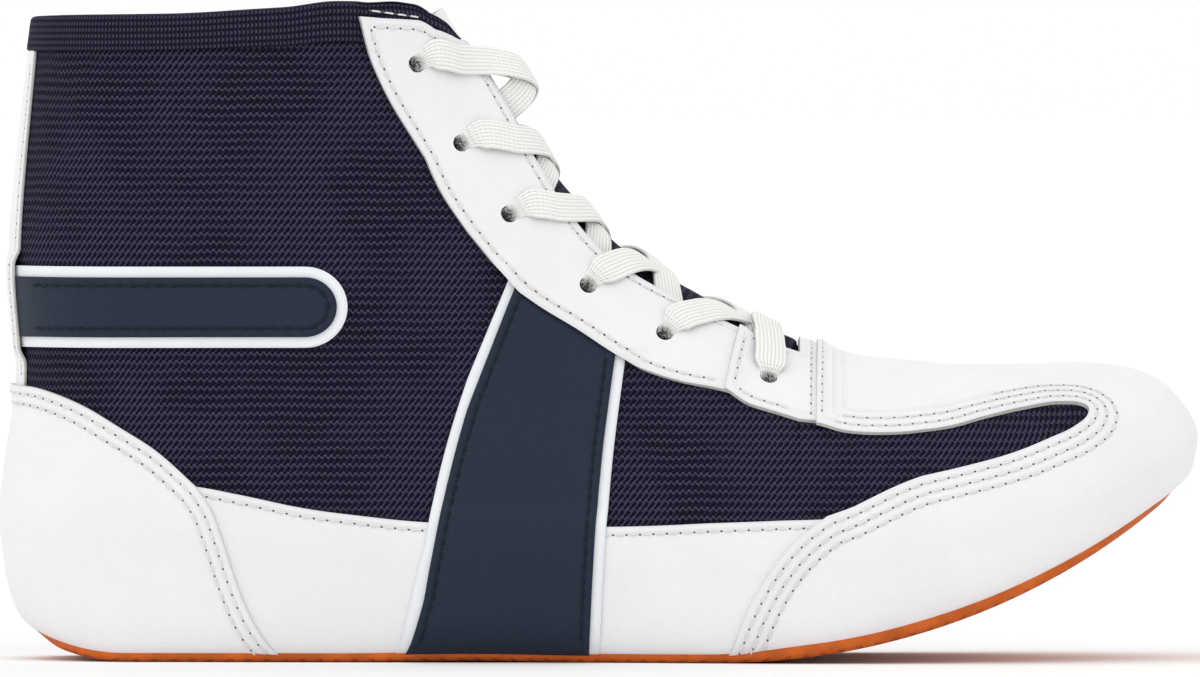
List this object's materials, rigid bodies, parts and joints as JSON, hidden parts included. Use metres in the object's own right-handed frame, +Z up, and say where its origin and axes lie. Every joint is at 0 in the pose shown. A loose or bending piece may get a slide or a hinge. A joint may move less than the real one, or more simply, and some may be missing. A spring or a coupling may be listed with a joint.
{
  "type": "kabaddi shoe",
  "caption": "Mid-cut lace-up mat shoe for the right foot: white leather panels over dark mesh, a folded collar binding and a thin gum sole with a long toe spring.",
  "frame": {"origin": "on the floor, under the middle of the shoe's length and width", "axes": "+X towards the toe, +Z up; the outer side of the foot faces -Y"},
  "size_m": [0.2821, 0.0997, 0.1557],
  "materials": {
    "white_leather": "smooth coated white leather, semi-matt",
    "white_backing": "white leather backing with raw cut edges",
    "navy_leather": "navy leather with a fine grain, semi-matt",
    "navy_mesh": "matt navy knitted mesh",
    "navy_binding": "matt navy ribbed binding tape",
    "white_lace": "flat woven white lace",
    "dark_lining": "matt dark lining cloth",
    "orange_gum": "matt orange gum rubber"
  },
  "bodies": {
    "root": {"outsole": "orange_gum", "insole": "dark_lining", "upper": "navy_mesh", "tongue": "navy_mesh", "toe_cap": "white_leather", "throat_facing": "white_leather", "eyestay_outer": "white_leather", "eyestay_inner": "white_leather", "foxing_outer": "white_leather", "foxing_inner": "white_leather", "heel_counter": "white_leather", "back_strip": "white_leather", "collar_binding": "navy_binding", "saddle_backing_outer": "white_backing", "saddle_backing_inner": "white_backing", "saddle_outer": "navy_leather", "saddle_inner": "navy_leather", "ankle_backing_outer": "white_backing", "ankle_backing_inner": "white_backing", "ankle_band_outer": "navy_leather", "ankle_band_inner": "navy_leather", "lace_bar": "white_lace", "lace_cross_1": "white_lace", "lace_cross_2": "white_lace", "lace_cross_3": "white_lace", "lace_cross_4": "white_lace", "lace_cross_5": "white_lace"}
  },
  "joints": []
}
